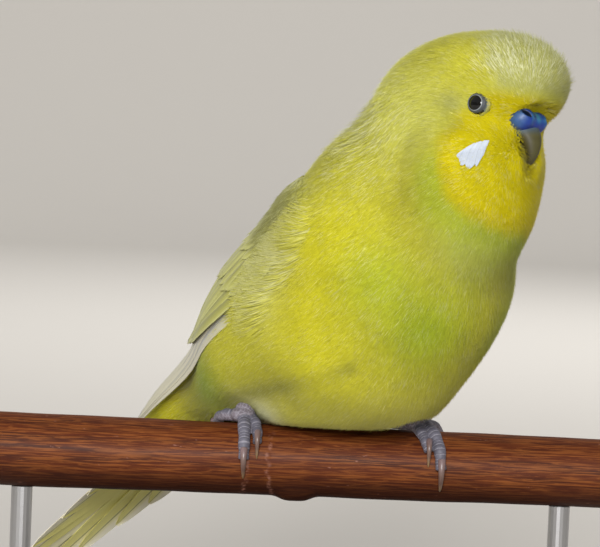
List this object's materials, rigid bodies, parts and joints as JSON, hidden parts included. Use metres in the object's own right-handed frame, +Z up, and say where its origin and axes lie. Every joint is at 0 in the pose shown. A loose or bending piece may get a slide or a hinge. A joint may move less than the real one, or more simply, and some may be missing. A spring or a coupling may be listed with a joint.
{
  "type": "perched budgerigar museum model",
  "caption": "Life-size still model of a budgerigar perched on a short length of wooden branch, carried by rods above a flat display base.",
  "frame": {"origin": "middle of the display base's flat underside, below the middle of the perch", "axes": "+Z up, X along the perch, the bird faces +X and -Y"},
  "size_m": [0.168, 0.129, 0.1718],
  "materials": {
    "plumage_head": "soft yellow feathers, paler on the crown",
    "plumage_neck": "soft yellow-green feathers",
    "plumage_body": "soft lime-yellow feathers, greener on the breast",
    "wing_feathers": "pale olive-yellow coverts, greyish white flight feathers",
    "tail_feathers": "pale yellow-green feathers with grey edges",
    "eye": "wet and glossy",
    "cere_skin": "smooth bare skin, slightly shiny",
    "beak_horn": "polished horn",
    "claw_horn": "dull horn",
    "foot_skin": "fine scaly skin",
    "perch_wood": "old varnish over bark and grain",
    "stand_base": "satin black paint",
    "stand_steel": "fine brushed"
  },
  "bodies": {
    "root": {"head": "plumage_head", "neck": "plumage_neck", "torso": "plumage_body", "eye_left": "eye", "eye_right": "eye", "cere": "cere_skin", "beak_upper": "beak_horn", "beak_lower": "beak_horn", "wing_left": "wing_feathers", "wing_right": "wing_feathers", "tail": "tail_feathers", "leg_left": "foot_skin", "leg_right": "foot_skin", "toe_left_1": "foot_skin", "toe_left_2": "foot_skin", "toe_left_3": "foot_skin", "toe_left_4": "foot_skin", "claw_left_1": "claw_horn", "claw_left_2": "claw_horn", "claw_left_3": "claw_horn", "claw_left_4": "claw_horn", "toe_right_1": "foot_skin", "toe_right_2": "foot_skin", "toe_right_3": "foot_skin", "toe_right_4": "foot_skin", "claw_right_1": "claw_horn", "claw_right_2": "claw_horn", "claw_right_3": "claw_horn", "claw_right_4": "claw_horn", "perch": "perch_wood", "stand_base": "stand_base", "stand_rod_1": "stand_steel", "stand_rod_2": "stand_steel"}
  },
  "joints": []
}
